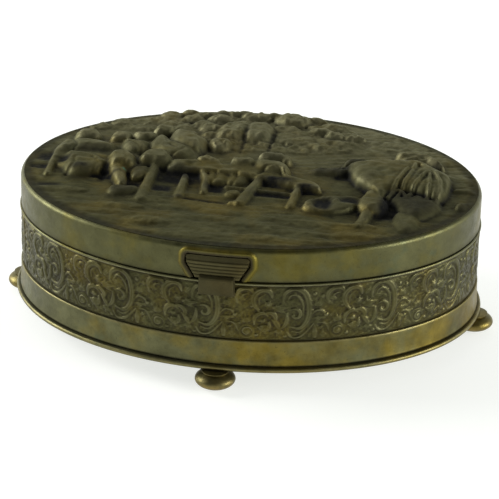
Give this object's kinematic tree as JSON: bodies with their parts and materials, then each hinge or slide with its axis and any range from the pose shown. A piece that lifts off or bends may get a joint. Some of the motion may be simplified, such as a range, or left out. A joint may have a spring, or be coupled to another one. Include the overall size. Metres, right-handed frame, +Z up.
{
  "type": "needle case",
  "caption": "Oval embossed brass needle case on bun feet, with a hinged lid, a rocking push catch and a velvet-lined inside with a needle cushion.",
  "frame": {"origin": "on the ground under the middle of the case, between its four feet", "axes": "+X along the long axis, to the right seen from the front; -Y is the front, with the catch; +Z up"},
  "size_m": [0.128, 0.102, 0.0404],
  "materials": {
    "dark_bronze": "dark bronze patina over embossed brass sheet",
    "olive_brass": "satin olive patina with golden wear",
    "worn_brass": "brass worn bright along its edges",
    "steel": "drawn steel wire and spring strip",
    "velvet": "short cotton velvet",
    "card": "plain pasteboard"
  },
  "bodies": {
    "case": {"base_plate": "worn_brass", "plinth_ring": "olive_brass", "embossed_band": "dark_bronze", "bead_ring": "olive_brass", "inner_sleeve": "olive_brass", "foot_front": "dark_bronze", "foot_back": "dark_bronze", "foot_left": "dark_bronze", "foot_right": "dark_bronze", "floor_card": "card", "needle_cushion": "velvet", "wall_lining": "velvet", "hinge_leaf_body": "olive_brass", "hinge_pin": "steel"},
    "lid": {"lid_rim": "olive_brass", "lid_plaque": "dark_bronze", "lid_card": "card", "lid_cushion": "velvet", "hinge_leaf_lid": "olive_brass", "catch_bezel": "worn_brass", "catch_lug_left": "olive_brass", "catch_lug_right": "olive_brass", "catch_pin": "steel", "catch_spring": "steel"},
    "catch": {"catch_rocker": "olive_brass"}
  },
  "joints": [
    {"name": "lid_hinge", "type": "hinge", "parent": "case", "child": "lid", "pos_m": [0, 0.0481, 0.0285], "axis": [-1, 0, 0], "range_deg": [0, 100]},
    {"name": "catch_press", "type": "hinge", "parent": "lid", "child": "catch", "pos_m": [0, -0.0437, 0.0299], "axis": [-1, 0, 0], "range_deg": [0, 12], "stiffness_Nm_per_rad": 0.02, "springref_deg": -5.73, "deforming": ["catch_spring"]}
  ]
}
